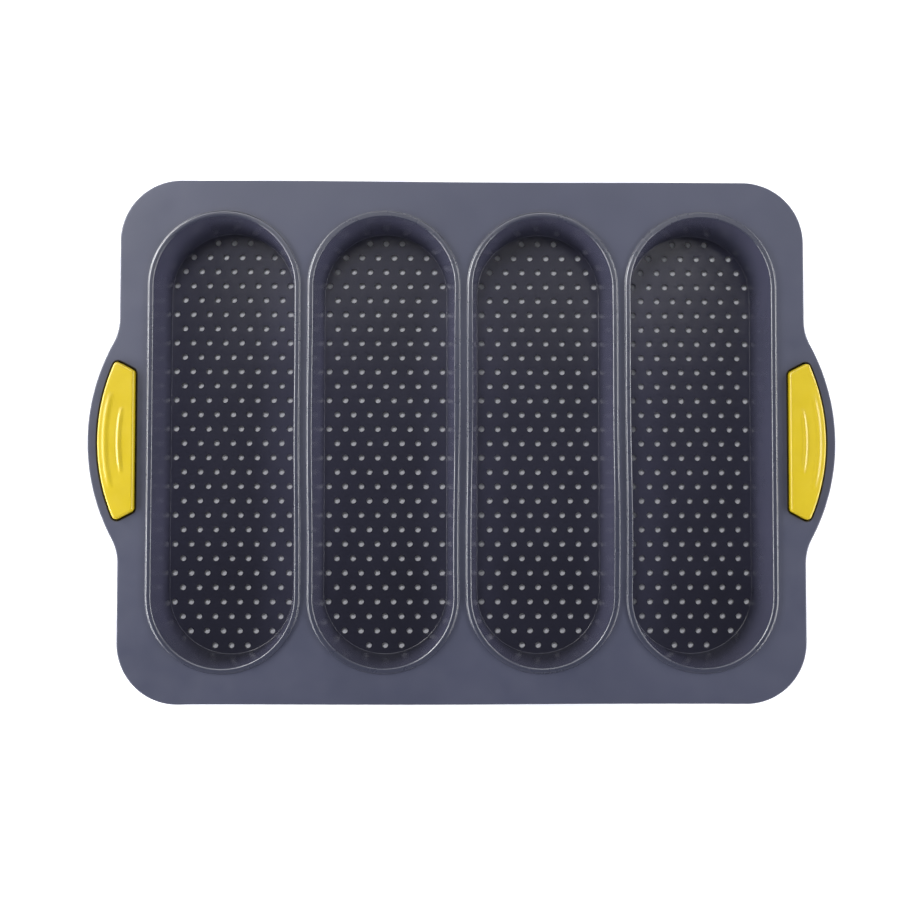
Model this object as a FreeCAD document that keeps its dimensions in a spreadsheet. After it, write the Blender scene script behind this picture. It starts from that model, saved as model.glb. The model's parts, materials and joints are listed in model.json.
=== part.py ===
import FreeCAD, Part
import math
import os
import Sketcher
from FreeCAD import Placement, Rotation, Vector

# Baguette tray: a flexible silicone moulding with four perforated troughs, stiffened by a steel wire
# that is moulded into its rim, with a yellow grip set in each of its two handle lugs.
# Frame: origin at the centre of the underside, +X from handle to handle, +Y along the troughs, +Z up.
# All sizes are in millimetres and live in the spreadsheet "Sizes".

os.makedirs("parts", exist_ok=True)
doc = FreeCAD.newDocument("BaguetteTray")

SIZES = {
    # rim and deck
    "side_half_width": "167.4",
    "end_half_width": "127.65",
    "rim_corner_radius": "30",
    "deck_top": "28",
    "deck_thickness": "2.6",
    "rim_thickness": "5.2",
    "rim_width": "7",
    "lug_margin": "11.6",
    "rim_edge_radius": "0.8",
    # handle lugs
    "lug_radius": "99.9",
    "lug_centre": "82.6",
    "lug_blend_radius": "25",
    # troughs
    "trough_pitch": "77.67",
    "trough_count": "4",
    "trough_end_centre": "75.6",
    "opening_radius": "34.1",
    "floor_radius": "31.2",
    "floor_thickness": "2",
    "wall_thickness": "2",
    "floor_blend_radius": "0.5",
    "underside_blend_radius": "2",
    # raised lip round each trough
    "lip_outer_radius": "37",
    "lip_height": "1.2",
    "lip_round": "0.8",
    # perforations in the trough floors
    "hole_diameter": "3",
    "hole_pitch": "8.226",
    "row_pitch": "7.315",
    # stiffening wire
    "wire_diameter": "2.6",
    "wire_inset": "3.6",
    "wire_lug_radius": "97.6",
    "moulding_clearance": "0.1",
    # grips
    "grip_inner_edge": "159.5",
    "grip_outer_radius": "94.5",
    "grip_inner_half_length": "33.9",
    "grip_end_angle": "28",
    "grip_corner_radius": "2",
    "grip_stand_off": "2.3",
    "grip_foot": "0.6",
    "grip_foot_round": "0.5",
    "grip_edge_round": "1",
    "tongue_depth": "1.3",
    "tongue_thickness": "1.4",
    "window_clearance": "0.85",
    # ribs on the grips
    "outer_rib_radius": "90.7",
    "outer_rib_half_length": "21.7",
    "inner_rib_radius": "84.1",
    "inner_rib_half_length": "14.5",
    "rib_width": "2.4",
    "rib_height": "0.6",
    "rib_round": "0.5",
}

# rows of holes in one floor: (holes in a row, rows of that kind, their spacing in row pitches)
HOLE_ROWS = ((7, 13, 2), (8, 12, 2), (6, 2, 26), (3, 2, 28))
TOLERANCE = 1e-4

sheet = doc.addObject("Spreadsheet::Sheet", "Sizes")
for row, (alias, text) in enumerate(SIZES.items(), start=1):
    sheet.set("A%d" % row, alias)
    sheet.set("B%d" % row, text)
    sheet.setAlias("B%d" % row, alias)
doc.recompute()


def size(alias):
    """Value of one spreadsheet size, in millimetres."""
    return float(sheet.get(alias))


# ---------------------------------------------------------------- bodies, sketches and features

def new_body(label):
    body = doc.addObject("PartDesign::Body", label)
    body.Label = label
    return body


def origin_feature(body, role):
    return next(item for item in body.Origin.OriginFeatures if item.Role == role)


def new_sketch(body, name, height="0 mm", shift="0 mm", plane="XY_Plane"):
    """Sketch parallel to one of the body's own planes, lifted by one size and moved by another."""
    sketch = body.newObject("Sketcher::SketchObject", name)
    sketch.AttachmentSupport = [(origin_feature(body, plane), "")]
    sketch.MapMode = "FlatFace"
    sketch.setExpression("AttachmentOffset.Base.z", height)
    sketch.setExpression("AttachmentOffset.Base.x", shift)
    return sketch


def dimension(sketch, name, expression, *constraint):
    """Dimensional constraint driven by an expression on the sheet."""
    index = sketch.addConstraint(Sketcher.Constraint(*constraint))
    sketch.renameConstraint(index, name)
    sketch.setExpression("Constraints." + name, expression)


def relate(sketch, *constraint):
    sketch.addConstraint(Sketcher.Constraint(*constraint))


def feature(body, kind, name, sketch, expressions=None, **settings):
    """Sketch-based feature with its sizes bound to the sheet."""
    made = body.newObject("PartDesign::" + kind, name)
    made.Profile = sketch
    for key, value in settings.items():
        setattr(made, key, value)
    for key, expression in (expressions or {}).items():
        made.setExpression(key, expression)
    sketch.Visibility = False
    doc.recompute()
    return made


def pad(body, name, sketch, length):
    return feature(body, "Pad", name, sketch, {"Length": length})


def pocket_upwards(body, name, sketch, length):
    """Pocket that cuts towards +Z from its sketch."""
    return feature(body, "Pocket", name, sketch, {"Length": length}, Reversed=True)


def round_edges(body, name, radius, chosen):
    """Fillet on every edge of the body's tip for which chosen(edge) is true."""
    base = body.Tip
    names = ["Edge%d" % (i + 1) for i, edge in enumerate(base.Shape.Edges) if chosen(edge)]
    fillet = body.newObject("PartDesign::Fillet", name)
    fillet.Base = (base, names)
    fillet.setExpression("Radius", "Sizes." + radius)
    doc.recompute()


def lies_at(edge, height):
    """True for an edge that lies flat at one height."""
    box = edge.BoundBox
    return abs(box.ZMin - height) < TOLERANCE and abs(box.ZMax - height) < TOLERANCE


def is_upright(edge):
    """True for a straight vertical edge."""
    box = edge.BoundBox
    return box.ZLength > TOLERANCE and box.XLength < TOLERANCE and box.YLength < TOLERANCE


# ---------------------------------------------------------------- sketch outlines

def draw_rounded_rectangle(sketch, half_x, half_y, radius, values):
    """Rounded rectangle centred on the sketch origin. values holds the three sizes as numbers."""
    x, y, r = values
    corners = ((x - r, y - r, 0), (r - x, y - r, 90), (r - x, r - y, 180), (x - r, r - y, 270))
    lines = (((x - r, y), (r - x, y)), ((-x, y - r), (-x, r - y)),
             ((r - x, -y), (x - r, -y)), ((x, r - y), (x, y - r)))
    for (cx, cy, start), (a, b) in zip(corners, lines):
        circle = Part.Circle(Vector(cx, cy, 0), Vector(0, 0, 1), r)
        sketch.addGeometry(Part.ArcOfCircle(circle, math.radians(start), math.radians(start + 90)))
        sketch.addGeometry(Part.LineSegment(Vector(*a, 0), Vector(*b, 0)))
    for i in range(8):
        previous = (i - 1) % 8
        relate(sketch, "Tangent", previous, 2, i, 1)
    relate(sketch, "Horizontal", 1)
    relate(sketch, "Vertical", 3)
    for other in (2, 4, 6):
        relate(sketch, "Equal", 0, other)
    relate(sketch, "Symmetric", 0, 3, 4, 3, -1, 1)
    dimension(sketch, "corner", radius, "Radius", 0, r)
    dimension(sketch, "across", "2 * (%s)" % half_x, "DistanceX", 3, 1, 7, 1, 2 * x)
    dimension(sketch, "along", "2 * (%s)" % half_y, "DistanceY", 5, 1, 1, 1, 2 * y)


def draw_stadium(sketch, radius, value):
    """Stadium along Y: two half circles of one radius joined by straight sides."""
    centre = size("trough_end_centre")
    top, left, bottom, right = range(4)
    upper = Part.Circle(Vector(0, centre, 0), Vector(0, 0, 1), value)
    lower = Part.Circle(Vector(0, -centre, 0), Vector(0, 0, 1), value)
    sketch.addGeometry(Part.ArcOfCircle(upper, 0, math.pi))
    sketch.addGeometry(Part.LineSegment(Vector(-value, centre, 0), Vector(-value, -centre, 0)))
    sketch.addGeometry(Part.ArcOfCircle(lower, math.pi, 2 * math.pi))
    sketch.addGeometry(Part.LineSegment(Vector(value, -centre, 0), Vector(value, centre, 0)))
    relate(sketch, "Tangent", top, 2, left, 1)
    relate(sketch, "Tangent", left, 2, bottom, 1)
    relate(sketch, "Tangent", bottom, 2, right, 1)
    relate(sketch, "Tangent", right, 2, top, 1)
    relate(sketch, "Symmetric", top, 3, bottom, 3, -1, 1)
    relate(sketch, "PointOnObject", top, 3, -2)
    relate(sketch, "Equal", top, bottom)
    dimension(sketch, "radius", radius, "Radius", top, value)
    dimension(sketch, "centre", "Sizes.trough_end_centre", "DistanceY", -1, 1, top, 3, centre)


def blend_centre_height(side, blend, arc_radius, arc_centre):
    """Y of the centre of the fillet that joins a side line to the lug arc."""
    across = side + blend - arc_centre
    return math.sqrt((arc_radius + blend) ** 2 - across ** 2)


def lug_arcs(side, blend, arc_radius):
    """Lower fillet, lug arc and upper fillet of the right lug, in order of rising Y."""
    arc_centre = size("lug_centre")
    height = blend_centre_height(side, blend, arc_radius, arc_centre)
    meet = math.atan2(height, side + blend - arc_centre)
    up = Vector(0, 0, 1)
    lower = Part.Circle(Vector(side + blend, -height, 0), up, blend)
    middle = Part.Circle(Vector(arc_centre, 0, 0), up, arc_radius)
    upper = Part.Circle(Vector(side + blend, height, 0), up, blend)
    return (
        Part.ArcOfCircle(lower, math.pi - meet, math.pi),
        Part.ArcOfCircle(middle, -meet, meet),
        Part.ArcOfCircle(upper, math.pi, math.pi + meet),
    )


def draw_lug(sketch):
    """Right handle lug: an arc joined to the side of the rim by two fillets, closed inside the rim."""
    side, blend, radius = size("side_half_width"), size("lug_blend_radius"), size("lug_radius")
    lower, middle, upper = lug_arcs(side, blend, radius)
    inside = side - size("rim_width")
    height = blend_centre_height(side, blend, radius, size("lug_centre"))
    for shape in (lower, middle, upper):
        sketch.addGeometry(shape)
    sketch.addGeometry(Part.LineSegment(Vector(side, height, 0), Vector(inside, height, 0)))
    sketch.addGeometry(Part.LineSegment(Vector(inside, height, 0), Vector(inside, -height, 0)))
    sketch.addGeometry(Part.LineSegment(Vector(inside, -height, 0), Vector(side, -height, 0)))
    relate(sketch, "Tangent", 0, 1, 1, 1)
    relate(sketch, "Tangent", 1, 2, 2, 2)
    relate(sketch, "Coincident", 2, 1, 3, 1)
    relate(sketch, "Coincident", 3, 2, 4, 1)
    relate(sketch, "Coincident", 4, 2, 5, 1)
    relate(sketch, "Coincident", 5, 2, 0, 2)
    relate(sketch, "Horizontal", 3)
    relate(sketch, "Vertical", 4)
    relate(sketch, "Horizontal", 5)
    relate(sketch, "PointOnObject", 1, 3, -1)
    relate(sketch, "Horizontal", 2, 3, 2, 1)
    relate(sketch, "Horizontal", 0, 3, 0, 2)
    relate(sketch, "Equal", 0, 2)
    dimension(sketch, "centre", "Sizes.lug_centre", "DistanceX", -1, 1, 1, 3, size("lug_centre"))
    dimension(sketch, "radius", "Sizes.lug_radius", "Radius", 1, radius)
    dimension(sketch, "blend", "Sizes.lug_blend_radius", "Radius", 0, blend)
    dimension(sketch, "side", "Sizes.side_half_width", "DistanceX", -1, 1, 2, 1, side)
    dimension(sketch, "inside", "Sizes.side_half_width - Sizes.rim_width",
              "DistanceX", -1, 1, 3, 2, inside)


def grip_corners(grow):
    """Upper two corners of the right grip's outline, moved outwards by grow, before rounding.
    The outer one is where the sloping end, a straight line, meets the arc of the outer side."""
    inner = size("grip_inner_edge") - grow
    slope = math.radians(size("grip_end_angle"))
    start = size("grip_inner_half_length") + grow * (1 - math.sin(slope)) / math.cos(slope)
    radius, centre = size("grip_outer_radius") + grow, size("lug_centre")
    along = (centre - inner) * math.cos(slope) - start * math.sin(slope)
    beside = (inner - centre) * math.sin(slope) - start * math.cos(slope)
    length = along + math.sqrt(radius ** 2 - beside ** 2)
    return inner, start, inner + length * math.cos(slope), start + length * math.sin(slope)


def draw_grip(sketch, grow="0", grow_value=0.0):
    """Right grip: straight inner side, outer side concentric with the lug, sloping ends."""
    inner, start, tip_x, tip_y = grip_corners(grow_value)
    radius, centre = size("grip_outer_radius") + grow_value, size("lug_centre")
    sweep = math.atan2(tip_y, tip_x - centre)
    arc = Part.ArcOfCircle(Part.Circle(Vector(centre, 0, 0), Vector(0, 0, 1), radius), -sweep, sweep)
    sketch.addGeometry(Part.LineSegment(Vector(inner, start, 0), Vector(inner, -start, 0)))
    sketch.addGeometry(Part.LineSegment(Vector(inner, -start, 0), Vector(tip_x, -tip_y, 0)))
    sketch.addGeometry(arc)
    sketch.addGeometry(Part.LineSegment(Vector(tip_x, tip_y, 0), Vector(inner, start, 0)))
    relate(sketch, "Coincident", 0, 2, 1, 1)
    relate(sketch, "Coincident", 1, 2, 2, 1)
    relate(sketch, "Coincident", 2, 2, 3, 1)
    relate(sketch, "Coincident", 3, 2, 0, 1)
    relate(sketch, "Symmetric", 0, 1, 0, 2, -1)
    relate(sketch, "PointOnObject", 2, 3, -1)
    relate(sketch, "Symmetric", 2, 1, 2, 2, -1)
    slope = "Sizes.grip_end_angle * 1 deg"
    half = "Sizes.grip_inner_half_length + (%s) * (1 - sin(%s)) / cos(%s)" % (grow, slope, slope)
    dimension(sketch, "inner", "Sizes.grip_inner_edge - (%s)" % grow, "DistanceX", -1, 1, 0, 1, inner)
    dimension(sketch, "half_length", half, "DistanceY", -1, 1, 0, 1, start)
    dimension(sketch, "centre", "Sizes.lug_centre", "DistanceX", -1, 1, 2, 3, centre)
    dimension(sketch, "radius", "Sizes.grip_outer_radius + (%s)" % grow, "Radius", 2, radius)
    dimension(sketch, "slope", slope, "Angle", 1, 2, -1, 2, math.radians(size("grip_end_angle")))


def draw_rib(sketch, radius, half_length):
    """Band along an arc concentric with the lug, with round ends."""
    centre, mid = size("lug_centre"), size(radius)
    half_width = size("rib_width") / 2
    sweep = size(half_length) / mid
    up = Vector(0, 0, 1)
    outer = Part.Circle(Vector(centre, 0, 0), up, mid + half_width)
    inner = Part.Circle(Vector(centre, 0, 0), up, mid - half_width)
    top = Part.Circle(Vector(centre + mid * math.cos(sweep), mid * math.sin(sweep), 0), up, half_width)
    end = Part.Circle(Vector(centre + mid * math.cos(sweep), -mid * math.sin(sweep), 0), up, half_width)
    sketch.addGeometry(Part.ArcOfCircle(outer, -sweep, sweep))
    sketch.addGeometry(Part.ArcOfCircle(top, sweep, sweep + math.pi))
    sketch.addGeometry(Part.ArcOfCircle(inner, -sweep, sweep))
    sketch.addGeometry(Part.ArcOfCircle(end, math.pi - sweep, 2 * math.pi - sweep))
    relate(sketch, "Tangent", 0, 2, 1, 1)
    relate(sketch, "Tangent", 1, 2, 2, 2)
    relate(sketch, "Tangent", 2, 1, 3, 1)
    relate(sketch, "Tangent", 3, 2, 0, 1)
    relate(sketch, "PointOnObject", 0, 3, -1)
    relate(sketch, "Coincident", 0, 3, 2, 3)
    relate(sketch, "Vertical", 1, 3, 3, 3)
    dimension(sketch, "centre", "Sizes.lug_centre", "DistanceX", -1, 1, 0, 3, centre)
    dimension(sketch, "outer", "Sizes.%s + Sizes.rib_width / 2" % radius, "Radius", 0, mid + half_width)
    dimension(sketch, "inner", "Sizes.%s - Sizes.rib_width / 2" % radius, "Radius", 2, mid - half_width)
    reach = "Sizes.%s * sin(Sizes.%s / Sizes.%s * 1 rad)" % (radius, half_length, radius)
    dimension(sketch, "reach", reach, "DistanceY", -1, 1, 1, 3, mid * math.sin(sweep))


def draw_wire_path(sketch):
    """Centre line of the wire: a rounded rectangle that bows out round each grip."""
    inset = size("wire_inset")
    x, y = size("side_half_width") - inset, size("end_half_width") - inset
    corner = size("rim_corner_radius") - inset
    blend = size("lug_blend_radius") + inset
    radius, centre = size("wire_lug_radius"), size("lug_centre")
    height = blend_centre_height(x, blend, radius, centre)
    lower, middle, upper = lug_arcs(x, blend, radius)
    up = Vector(0, 0, 1)

    def corner_arc(sign_x, sign_y, start):
        circle = Part.Circle(Vector(sign_x * (x - corner), sign_y * (y - corner), 0), up, corner)
        return Part.ArcOfCircle(circle, math.radians(start), math.radians(start + 90))

    def line(start, end):
        return Part.LineSegment(Vector(*start, 0), Vector(*end, 0))

    half_turn = Rotation(up, 180).toMatrix()
    right = [
        line((x, corner - y), (x, -height)), lower, middle, upper,
        line((x, height), (x, y - corner)), corner_arc(1, 1, 0), line((x - corner, y), (corner - x, y)),
    ]
    left = [corner_arc(-1, 1, 90)]
    for shape in right[:5]:
        turned = shape.copy()
        turned.transform(half_turn)
        left.append(turned)
    left.append(corner_arc(-1, -1, 180))
    left.append(line((corner - x, -y), (x - corner, -y)))
    left.append(corner_arc(1, -1, 270))
    for shape in right + left:
        sketch.addGeometry(shape)
    # end points used where one element meets the next: the fillets run against the loop's direction
    count = len(right + left)
    against = (1, 3, 9, 11)
    for i in range(count):
        nxt = (i + 1) % count
        end = 1 if i in against else 2
        start = 2 if nxt in against else 1
        relate(sketch, "Tangent", i, end, nxt, start)
    for vertical in (0, 4, 8, 12):
        relate(sketch, "Vertical", vertical)
    relate(sketch, "Horizontal", 6)
    for other in (7, 13, 15):
        relate(sketch, "Equal", 5, other)
    for other in (3, 9, 11):
        relate(sketch, "Equal", 1, other)
    relate(sketch, "Equal", 2, 10)
    relate(sketch, "PointOnObject", 2, 3, -1)
    relate(sketch, "Symmetric", 2, 3, 10, 3, -1, 1)
    relate(sketch, "Symmetric", 5, 3, 13, 3, -1, 1)
    dimension(sketch, "corner", "Sizes.rim_corner_radius - Sizes.wire_inset", "Radius", 5, corner)
    dimension(sketch, "blend", "Sizes.lug_blend_radius + Sizes.wire_inset", "Radius", 1, blend)
    dimension(sketch, "bow", "Sizes.wire_lug_radius", "Radius", 2, radius)
    dimension(sketch, "centre", "Sizes.lug_centre", "DistanceX", -1, 1, 2, 3, centre)
    dimension(sketch, "side", "Sizes.side_half_width - Sizes.wire_inset", "DistanceX", -1, 1, 4, 1, x)
    dimension(sketch, "end", "Sizes.end_half_width - Sizes.wire_inset", "DistanceY", -1, 1, 6, 1, y)


def wire_pipe(body, kind, name, extra_radius, extra_value):
    """Round pipe along the wire's centre line, in the middle of the rim's thickness."""
    path = new_sketch(body, name + "_path", "Sizes.deck_top - Sizes.rim_thickness / 2")
    draw_wire_path(path)
    section = new_sketch(body, name + "_section", "Sizes.side_half_width - Sizes.rim_corner_radius",
                         plane="YZ_Plane")
    y = size("end_half_width") - size("wire_inset")
    z = size("deck_top") - size("rim_thickness") / 2
    radius = size("wire_diameter") / 2 + extra_value
    section.addGeometry(Part.Circle(Vector(y, z, 0), Vector(0, 0, 1), radius))
    dimension(section, "radius", "Sizes.wire_diameter / 2 + (%s)" % extra_radius, "Radius", 0, radius)
    dimension(section, "out", "Sizes.end_half_width - Sizes.wire_inset", "DistanceX", -1, 1, 0, 3, y)
    dimension(section, "up", "Sizes.deck_top - Sizes.rim_thickness / 2", "DistanceY", -1, 1, 0, 3, z)
    doc.recompute()
    pipe = body.newObject("PartDesign::" + kind, name)
    pipe.Profile = section
    pipe.Spine = (path, ["Edge%d" % (i + 1) for i in range(len(path.Shape.Edges))])
    doc.recompute()


# ---------------------------------------------------------------- patterns

def linear_pattern(body, name, role, length, occurrences):
    pattern = doc.addObject("PartDesign::LinearPattern", name)
    pattern.Direction = (origin_feature(body, role), [""])
    pattern.setExpression("Length", length)
    pattern.Occurrences = occurrences
    body.addObject(pattern)
    return pattern


def repeat_troughs(body, name, original):
    """Repeats one feature of the first trough for all the troughs."""
    pattern = body.newObject("PartDesign::LinearPattern", name)
    pattern.Originals = [original]
    pattern.Direction = (origin_feature(body, "X_Axis"), [""])
    pattern.setExpression("Length", "Sizes.trough_pitch * (Sizes.trough_count - 1)")
    pattern.Occurrences = int(size("trough_count"))
    body.Tip = pattern
    doc.recompute()


# ---------------------------------------------------------------- the silicone moulding

FIRST_TROUGH = "-Sizes.trough_pitch * (Sizes.trough_count - 1) / 2"


def trough_loft(body, kind, name, low, high):
    """Loft between two stadiums. low and high are (height, radius expression, radius value)."""
    sections = []
    for label, (height, radius, value) in (("_low", low), ("_high", high)):
        sketch = new_sketch(body, name + label, height, FIRST_TROUGH)
        draw_stadium(sketch, radius, value)
        sketch.Visibility = False
        sections.append(sketch)
    loft = body.newObject("PartDesign::" + kind, name)
    loft.Profile = sections[0]
    loft.Sections = [sections[1]]
    loft.Ruled = True
    doc.recompute()
    return loft


def recess_half_sizes():
    """Half the width and half the length of the thinner deck inside the rim."""
    return size("side_half_width") - size("lug_margin"), size("end_half_width") - size("rim_width")


def add_rim(body):
    """Rim with a handle lug on either side, and the thinner deck between them."""
    outline = new_sketch(body, "rim_outline", "Sizes.deck_top - Sizes.rim_thickness")
    draw_rounded_rectangle(outline, "Sizes.side_half_width", "Sizes.end_half_width",
                           "Sizes.rim_corner_radius",
                           (size("side_half_width"), size("end_half_width"), size("rim_corner_radius")))
    pad(body, "rim", outline, "Sizes.rim_thickness")
    lug = new_sketch(body, "lug_outline", "Sizes.deck_top - Sizes.rim_thickness")
    draw_lug(lug)
    right = pad(body, "right_lug", lug, "Sizes.rim_thickness")
    mirrored = body.newObject("PartDesign::Mirrored", "left_lug")
    mirrored.Originals = [right]
    mirrored.MirrorPlane = (origin_feature(body, "YZ_Plane"), [""])
    body.Tip = mirrored
    doc.recompute()
    recess = new_sketch(body, "deck_recess_outline", "Sizes.deck_top - Sizes.rim_thickness")
    half_x, half_y = recess_half_sizes()
    draw_rounded_rectangle(recess, "Sizes.side_half_width - Sizes.lug_margin",
                           "Sizes.end_half_width - Sizes.rim_width",
                           "Sizes.rim_corner_radius - Sizes.rim_width",
                           (half_x, half_y, size("rim_corner_radius") - size("rim_width")))
    pocket_upwards(body, "deck_recess", recess, "Sizes.rim_thickness - Sizes.deck_thickness")


def add_troughs(body):
    """Outer walls, lips, hollows and blends of the troughs."""
    depth = size("deck_top") - size("floor_thickness")
    draft = (size("opening_radius") - size("floor_radius")) / depth
    draft_text = ("(Sizes.opening_radius - Sizes.floor_radius)"
                  " / (Sizes.deck_top - Sizes.floor_thickness)")
    wall, floor = size("wall_thickness"), size("floor_thickness")
    base_radius = "Sizes.floor_radius + Sizes.wall_thickness - Sizes.floor_thickness * " + draft_text
    shell = trough_loft(
        body, "AdditiveLoft", "trough_shell",
        ("0 mm", base_radius, size("floor_radius") + wall - floor * draft),
        ("Sizes.deck_top", "Sizes.opening_radius + Sizes.wall_thickness", size("opening_radius") + wall))
    repeat_troughs(body, "trough_shells", shell)
    ring = new_sketch(body, "lip_outline", "Sizes.deck_top - Sizes.deck_thickness / 2", FIRST_TROUGH)
    draw_stadium(ring, "Sizes.lip_outer_radius", size("lip_outer_radius"))
    lip = pad(body, "trough_lip", ring, "Sizes.lip_height + Sizes.deck_thickness / 2")
    repeat_troughs(body, "trough_lips", lip)
    mouth = "Sizes.opening_radius + Sizes.lip_height * " + draft_text
    hollow = trough_loft(
        body, "SubtractiveLoft", "trough_hollow",
        ("Sizes.floor_thickness", "Sizes.floor_radius", size("floor_radius")),
        ("Sizes.deck_top + Sizes.lip_height", mouth, size("opening_radius") + size("lip_height") * draft))
    repeat_troughs(body, "trough_hollows", hollow)
    lip_top = size("deck_top") + size("lip_height")
    round_edges(body, "lip_rounding", "lip_round", lambda edge: lies_at(edge, lip_top))
    round_edges(body, "floor_blend", "floor_blend_radius", lambda edge: lies_at(edge, floor))
    round_edges(body, "underside_blend", "underside_blend_radius", lambda edge: lies_at(edge, 0))


def add_grip_windows(body):
    """Windows through the lugs, each with a groove that holds the grip's tongue."""
    window = new_sketch(body, "window_outline", "Sizes.deck_top - Sizes.rim_thickness")
    gap = size("window_clearance")
    draw_grip(window, "Sizes.window_clearance", gap)
    cut = pocket_upwards(body, "right_window", window, "Sizes.rim_thickness")
    groove_gap = "Sizes.tongue_thickness + 2 * Sizes.moulding_clearance"
    groove = new_sketch(body, "groove_outline",
                        "Sizes.deck_top - Sizes.rim_thickness / 2 - (%s) / 2" % groove_gap)
    draw_grip(groove, "Sizes.tongue_depth + Sizes.moulding_clearance",
              size("tongue_depth") + size("moulding_clearance"))
    slot = pocket_upwards(body, "right_groove", groove, groove_gap)
    mirrored = body.newObject("PartDesign::Mirrored", "left_window")
    mirrored.Originals = [cut, slot]
    mirrored.MirrorPlane = (origin_feature(body, "YZ_Plane"), [""])
    body.Tip = mirrored
    doc.recompute()


def round_rim(body):
    """Small radius on the top and bottom outer edges of the rim and lugs."""
    top, bottom = size("deck_top"), size("deck_top") - size("rim_thickness")
    recess_x, recess_y = recess_half_sizes()

    def on_outline(edge):
        """The recess and the windows have edges at these heights too, all nearer the centre."""
        if not (lies_at(edge, top) or lies_at(edge, bottom)):
            return False
        middle = edge.valueAt((edge.FirstParameter + edge.LastParameter) / 2)
        x, y = abs(middle.x), abs(middle.y)
        beyond_recess = x > recess_x + TOLERANCE or y > recess_y + TOLERANCE
        return beyond_recess and math.hypot(x - size("lug_centre"), y) > size("lug_radius") - TOLERANCE

    round_edges(body, "rim_rounding", "rim_edge_radius", on_outline)


def perforate(body):
    """Staggered rows of round holes through every trough floor."""
    for per_row, rows, spacing in HOLE_ROWS:
        name = "holes_%d" % per_row
        sketch = new_sketch(body, name + "_first", "-Sizes.floor_thickness",
                            FIRST_TROUGH + " - Sizes.hole_pitch * %g" % ((per_row - 1) / 2))
        down = (rows - 1) * spacing / 2
        radius = size("hole_diameter") / 2
        y = -down * size("row_pitch")
        sketch.addGeometry(Part.Circle(Vector(0, y, 0), Vector(0, 0, 1), radius))
        relate(sketch, "PointOnObject", 0, 3, -2)
        dimension(sketch, "radius", "Sizes.hole_diameter / 2", "Radius", 0, radius)
        dimension(sketch, "row", "Sizes.row_pitch * %g" % down, "DistanceY", 0, 3, -1, 1, -y)
        first = pocket_upwards(body, name, sketch, "Sizes.floor_thickness * 3")
        multi = body.newObject("PartDesign::MultiTransform", name + "_pattern")
        multi.Originals = [first]
        multi.Transformations = [
            linear_pattern(body, name + "_across", "X_Axis",
                           "Sizes.hole_pitch * %d" % (per_row - 1), per_row),
            linear_pattern(body, name + "_along", "Y_Axis",
                           "Sizes.row_pitch * %d" % ((rows - 1) * spacing), rows),
            linear_pattern(body, name + "_troughs", "X_Axis",
                           "Sizes.trough_pitch * (Sizes.trough_count - 1)", int(size("trough_count"))),
        ]
        body.Tip = multi
        doc.recompute()


def make_tray_body():
    body = new_body("tray_body")
    add_rim(body)
    add_troughs(body)
    add_grip_windows(body)
    round_rim(body)
    wire_pipe(body, "SubtractivePipe", "wire_channel", "Sizes.moulding_clearance", size("moulding_clearance"))
    perforate(body)
    return body


# ---------------------------------------------------------------- the wire and the grips

def make_frame_wire():
    body = new_body("frame_wire")
    wire_pipe(body, "AdditivePipe", "wire", "0", 0.0)
    return body


def make_grip(label, turn):
    """Grip drawn at the right lug, then turned about the vertical axis to its own lug."""
    body = new_body(label)
    bottom = "Sizes.deck_top - Sizes.rim_thickness - Sizes.grip_foot"
    outline = new_sketch(body, label + "_outline", bottom)
    draw_grip(outline)
    block = "Sizes.rim_thickness + Sizes.grip_foot + Sizes.grip_stand_off"
    pad(body, label + "_block", outline, block)
    round_edges(body, label + "_corners", "grip_corner_radius", is_upright)
    tongue = new_sketch(body, label + "_tongue_outline",
                        "Sizes.deck_top - Sizes.rim_thickness / 2 - Sizes.tongue_thickness / 2")
    draw_grip(tongue, "Sizes.tongue_depth", size("tongue_depth"))
    pad(body, label + "_tongue", tongue, "Sizes.tongue_thickness")
    top = size("deck_top") + size("grip_stand_off")
    low = size("deck_top") - size("rim_thickness") - size("grip_foot")
    round_edges(body, label + "_top_rounding", "grip_edge_round", lambda edge: lies_at(edge, top))
    round_edges(body, label + "_foot_rounding", "grip_foot_round", lambda edge: lies_at(edge, low))
    for rib in ("outer_rib", "inner_rib"):
        sketch = new_sketch(body, label + "_" + rib + "_outline",
                            "Sizes.deck_top + Sizes.grip_stand_off - Sizes.rib_height")
        draw_rib(sketch, rib + "_radius", rib + "_half_length")
        pad(body, label + "_" + rib, sketch, "Sizes.rib_height * 2")
    crest = top + size("rib_height")
    round_edges(body, label + "_rib_rounding", "rib_round", lambda edge: lies_at(edge, crest))
    body.Placement = Placement(Vector(0, 0, 0), Rotation(Vector(0, 0, 1), turn))
    return body


parts = [
    make_tray_body(),
    make_frame_wire(),
    make_grip("right_grip", 0),
    make_grip("left_grip", 180),
]

# ---------------------------------------------------------------- checks and export

doc.recompute()
for item in doc.Objects:
    if "Invalid" in item.State or "Error" in item.State:
        raise RuntimeError("%s is %s" % (item.Name, item.State))
for part in parts:
    if part.Shape.isNull() or not part.Shape.isValid() or len(part.Shape.Solids) != 1:
        raise RuntimeError("%s is not one valid solid" % part.Label)
    part.Shape.exportStep("parts/%s.step" % part.Label)
    box = part.Shape.optimalBoundingBox(False)
    print("%-12s volume %9.1f  box %.2f %.2f %.2f to %.2f %.2f %.2f" % (
        part.Label, part.Shape.Volume, box.XMin, box.YMin, box.ZMin, box.XMax, box.YMax, box.ZMax))
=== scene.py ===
import json
import math

import bpy
import numpy as np
from mathutils import Matrix, Vector
from mathutils.geometry import delaunay_2d_cdt


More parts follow.
